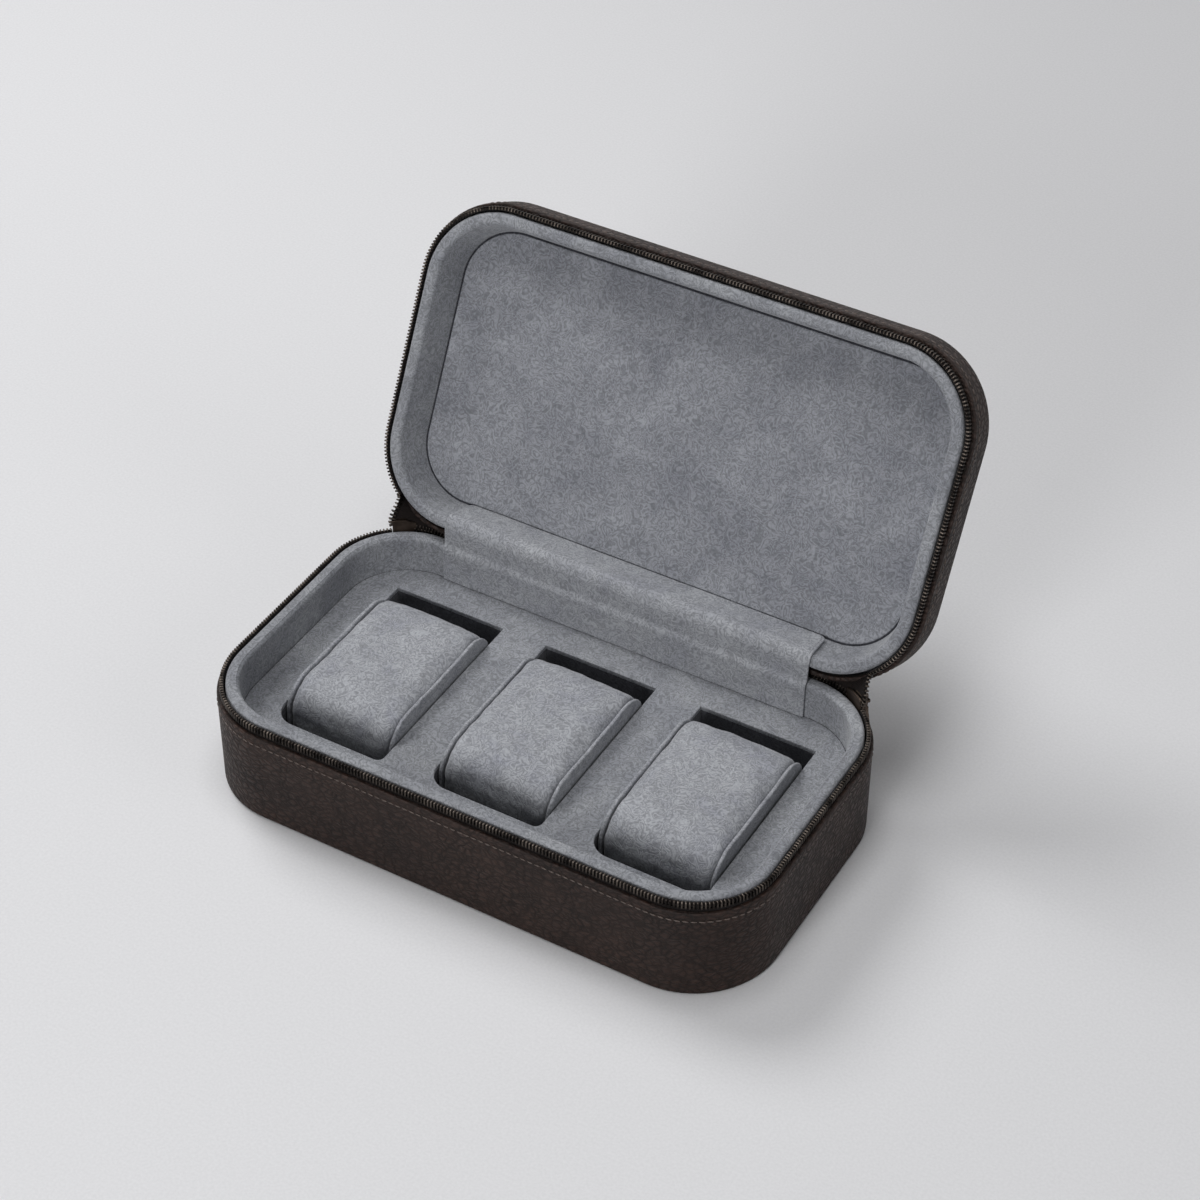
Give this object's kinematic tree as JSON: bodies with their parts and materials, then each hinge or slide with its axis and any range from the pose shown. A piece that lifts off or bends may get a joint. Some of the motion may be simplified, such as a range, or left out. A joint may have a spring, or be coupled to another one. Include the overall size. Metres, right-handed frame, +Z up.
{
  "type": "watch travel case",
  "caption": "Zip-around leather travel case with a hinged lid, suede lining and lift-out watch cushions in wells.",
  "frame": {"origin": "centre of the flat bottom", "axes": "+X along the hinge, +Y towards the hinge, +Z up; the lid stands open at its stop"},
  "size_m": [0.24, 0.2084, 0.1717],
  "materials": {
    "leather": "dark brown pebble-grained leather",
    "suede": "blue-grey microsuede with a short nap",
    "cushion_suede": "blue-grey microsuede over soft foam",
    "foam": "dark closed-cell foam",
    "board": "stiff fibre board",
    "zip_tape": "black-brown woven tape",
    "zip_metal": "dark bronze-plated teeth",
    "slider_metal": "dark bronze-plated metal"
  },
  "bodies": {
    "base": {"base_leather_bottom": "leather", "base_leather_wall": "leather", "base_foam": "foam", "base_board": "board", "base_rim_liner": "suede", "tray_foam": "foam", "tray_deck": "suede", "well_liner_1": "suede", "well_liner_2": "suede", "well_liner_3": "suede", "zip_tape_base": "zip_tape", "zip_teeth_base": "zip_metal", "slider_left": "slider_metal", "slider_right": "slider_metal", "spine_leather": "leather", "hinge_flap": "suede", "zip_end_left": "zip_tape", "zip_end_right": "zip_tape"},
    "lid": {"lid_leather_top": "leather", "lid_leather_wall": "leather", "lid_pad": "foam", "lid_foam": "foam", "lid_board": "board", "lid_rim_liner": "suede", "lid_panel": "suede", "zip_tape_lid": "zip_tape", "zip_teeth_lid": "zip_metal"},
    "pull_left": {"pull_link_left": "slider_metal", "pull_tab_left": "slider_metal"},
    "pull_right": {"pull_link_right": "slider_metal", "pull_tab_right": "slider_metal"},
    "cushion_left": {"cushion_1": "cushion_suede"},
    "cushion_middle": {"cushion_2": "cushion_suede"},
    "cushion_right": {"cushion_3": "cushion_suede"}
  },
  "joints": [
    {"name": "lid_hinge", "type": "hinge", "parent": "base", "child": "lid", "pos_m": [0, 0.0652, 0.0514], "axis": [-1, 0, 0], "range_deg": [-117, 0], "deforming": ["spine_leather", "hinge_flap", "zip_end_left", "zip_end_right"]},
    {"name": "pull_left_swing", "type": "hinge", "parent": "base", "child": "pull_left", "pos_m": [-0.10434, 0.06476, 0.04643], "axis": [0.848, 0.5299, 0], "range_deg": [0, 100]},
    {"name": "pull_right_swing", "type": "hinge", "parent": "base", "child": "pull_right", "pos_m": [0.10434, 0.06476, 0.04643], "axis": [0.848, -0.5299, 0], "range_deg": [0, 100]},
    {"name": "cushion_left_lift", "type": "slide", "parent": "base", "child": "cushion_left", "axis": [0, 0, 1], "range_m": [0, 0.08]},
    {"name": "cushion_middle_lift", "type": "slide", "parent": "base", "child": "cushion_middle", "axis": [0, 0, 1], "range_m": [0, 0.08]},
    {"name": "cushion_right_lift", "type": "slide", "parent": "base", "child": "cushion_right", "axis": [0, 0, 1], "range_m": [0, 0.08]}
  ]
}
